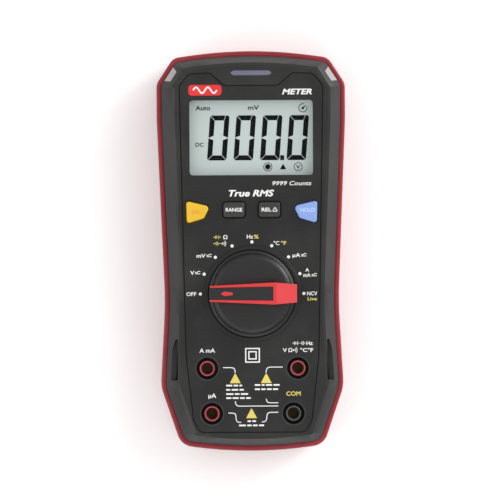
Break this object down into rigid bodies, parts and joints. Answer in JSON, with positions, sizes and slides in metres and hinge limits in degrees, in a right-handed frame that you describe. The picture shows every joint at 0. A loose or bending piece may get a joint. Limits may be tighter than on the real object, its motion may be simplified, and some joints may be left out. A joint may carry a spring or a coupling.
{
  "type": "handheld digital multimeter",
  "caption": "Handheld digital multimeter with a waisted red case, black face, liquid crystal display, four keys, rotary selector, shrouded test jacks and a folding stand.",
  "frame": {"origin": "middle of the resting face, under the meter as it lies on its back", "axes": "+Z out of the front face, +Y towards the display end, +X to the right of someone reading the display"},
  "size_m": [0.0892, 0.189, 0.0538],
  "materials": {
    "red_casing": "fine moulded texture, satin",
    "black_cover": "fine moulded texture",
    "face_panel": "fine matte, printed legends",
    "clear_window": "polished clear acrylic",
    "lcd_glass": "reflective liquid crystal, pale green-grey",
    "inner_black": "plain",
    "light_guide": "milky acrylic",
    "elastomer": "banded elastomer",
    "board_green": "solder mask",
    "fuse_body": "fired ceramic white",
    "plated_metal": "plated",
    "chip_black": "moulded epoxy",
    "disc_blue": "dipped epoxy",
    "lamp_red": "clear tinted epoxy",
    "light_bar": "translucent, smoky lilac",
    "corner_clear": "translucent, glossy",
    "silicone_grey": "silicone",
    "knob_black": "fine matte",
    "knob_red": "semi-gloss",
    "rotor_white": "acetal",
    "steel": "polished",
    "key_yellow": "satin",
    "key_blue": "satin",
    "key_black": "satin",
    "jack_red": "moulded",
    "jack_black": "moulded",
    "brass": "machined",
    "stand_black": "fine moulded texture",
    "cell_jacket": "printed sleeve",
    "foot_rubber": "moulded rubber"
  },
  "bodies": {
    "meter": {"rear_case": "red_casing", "front_cover": "black_cover", "face_panel": "face_panel", "display_window": "clear_window", "lcd_panel": "lcd_glass", "lcd_frame": "inner_black", "lcd_backlight": "light_guide", "lcd_contact_strips": "elastomer", "circuit_board": "board_green", "fuse_tubes": "fuse_body", "fuse_caps": "plated_metal", "fuse_clips": "plated_metal", "measuring_chip": "chip_black", "buzzer": "chip_black", "protection_discs": "disc_blue", "alarm_leds": "lamp_red", "light_bar": "light_bar", "corner_window_left": "corner_clear", "corner_window_right": "corner_clear", "keypad_mat": "silicone_grey", "detent_ring": "rotor_white", "stand_pin": "steel", "battery_door": "stand_black", "battery_cells": "cell_jacket", "battery_springs": "steel", "battery_contacts": "plated_metal", "case_screws": "steel", "door_screws": "steel", "rubber_feet": "foot_rubber", "jack_amps": "jack_red", "jack_volts": "jack_red", "jack_microamps": "jack_red", "jack_common": "jack_black", "jack_shrouds": "black_cover", "socket_amps": "brass", "socket_volts": "brass", "socket_microamps": "brass", "socket_common": "brass"},
    "selector": {"knob_disc": "knob_black", "knob_pointer": "knob_red", "knob_insert": "knob_black", "knob_mark": "knob_red", "switch_rotor": "rotor_white", "switch_wipers": "brass", "detent_balls": "steel"},
    "key_select": {"key_select": "key_yellow"},
    "key_range": {"key_range": "key_black"},
    "key_relative": {"key_relative": "key_black"},
    "key_hold": {"key_hold": "key_blue"},
    "stand": {"tilt_stand": "stand_black"}
  },
  "joints": [
    {"name": "selector_turn", "type": "hinge", "parent": "meter", "child": "selector", "pos_m": [0, -0.0203, 0.046], "axis": [0, 0, -1], "range_deg": [0, 180]},
    {"name": "key_select_press", "type": "slide", "parent": "meter", "child": "key_select", "axis": [0, 0, -1], "range_m": [0, 0.0009], "stiffness_N_per_m": 1500, "springref_m": -0.0002},
    {"name": "key_range_press", "type": "slide", "parent": "meter", "child": "key_range", "axis": [0, 0, -1], "range_m": [0, 0.0009], "stiffness_N_per_m": 1500, "springref_m": -0.0002},
    {"name": "key_relative_press", "type": "slide", "parent": "meter", "child": "key_relative", "axis": [0, 0, -1], "range_m": [0, 0.0009], "stiffness_N_per_m": 1500, "springref_m": -0.0002},
    {"name": "key_hold_press", "type": "slide", "parent": "meter", "child": "key_hold", "axis": [0, 0, -1], "range_m": [0, 0.0009], "stiffness_N_per_m": 1500, "springref_m": -0.0002},
    {"name": "stand_open", "type": "hinge", "parent": "meter", "child": "stand", "pos_m": [0, 0.036, 0.0029], "axis": [1, 0, 0], "range_deg": [0, 70]}
  ]
}
